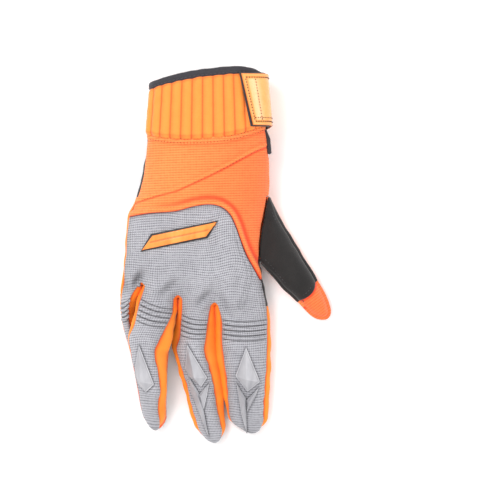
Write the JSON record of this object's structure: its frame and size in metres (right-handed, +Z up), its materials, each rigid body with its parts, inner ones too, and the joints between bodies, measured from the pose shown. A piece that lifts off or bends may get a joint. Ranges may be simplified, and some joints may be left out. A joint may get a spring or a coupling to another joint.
{
  "type": "motocross glove",
  "caption": "Motocross glove for the right hand, lying palm down: knit back with ridged finger pads, mesh upper, suede palm, ribbed cuff and a wrap-round strap.",
  "frame": {"origin": "on the table, under the middle of the glove lying palm down", "axes": "+Z up from the table, +Y from the fingertips to the cuff, +X towards the thumb"},
  "size_m": [0.1322, 0.2362, 0.0366],
  "materials": {
    "mesh_orange": "open knit mesh, matt",
    "knit_grey": "ribbed knit, matt",
    "gusset_orange": "smooth stretch cloth",
    "suede_black": "matt suede",
    "trim_black": "woven tape",
    "cuff_orange": "ribbed elastic",
    "strap_leather": "smooth, slightly glossy",
    "pad_rubber": "satin",
    "badge_orange": "satin",
    "badge_black": "satin"
  },
  "bodies": {
    "root": {"back_mesh": "mesh_orange", "back_knit": "knit_grey", "palm": "suede_black", "heel_side": "suede_black", "side_gusset": "gusset_orange", "fourchette_pinky_ring": "gusset_orange", "fourchette_ring_middle": "gusset_orange", "fourchette_middle_index": "gusset_orange", "index_side": "gusset_orange", "web_wall": "trim_black", "wrist_side": "mesh_orange", "thumb_patch": "suede_black", "thumb_gusset": "mesh_orange", "thumb_tip": "mesh_orange", "cuff_band": "cuff_orange", "cuff_binding": "trim_black", "strap_backing": "trim_black", "strap_leather": "strap_leather", "slit_binding": "trim_black", "badge_base": "badge_black", "badge_face": "badge_orange", "pad_index": "pad_rubber", "pad_middle": "pad_rubber", "pad_ring": "pad_rubber", "blade_index_long": "pad_rubber", "blade_index_short": "pad_rubber", "blade_middle_long": "pad_rubber", "blade_middle_short": "pad_rubber"}
  },
  "joints": []
}
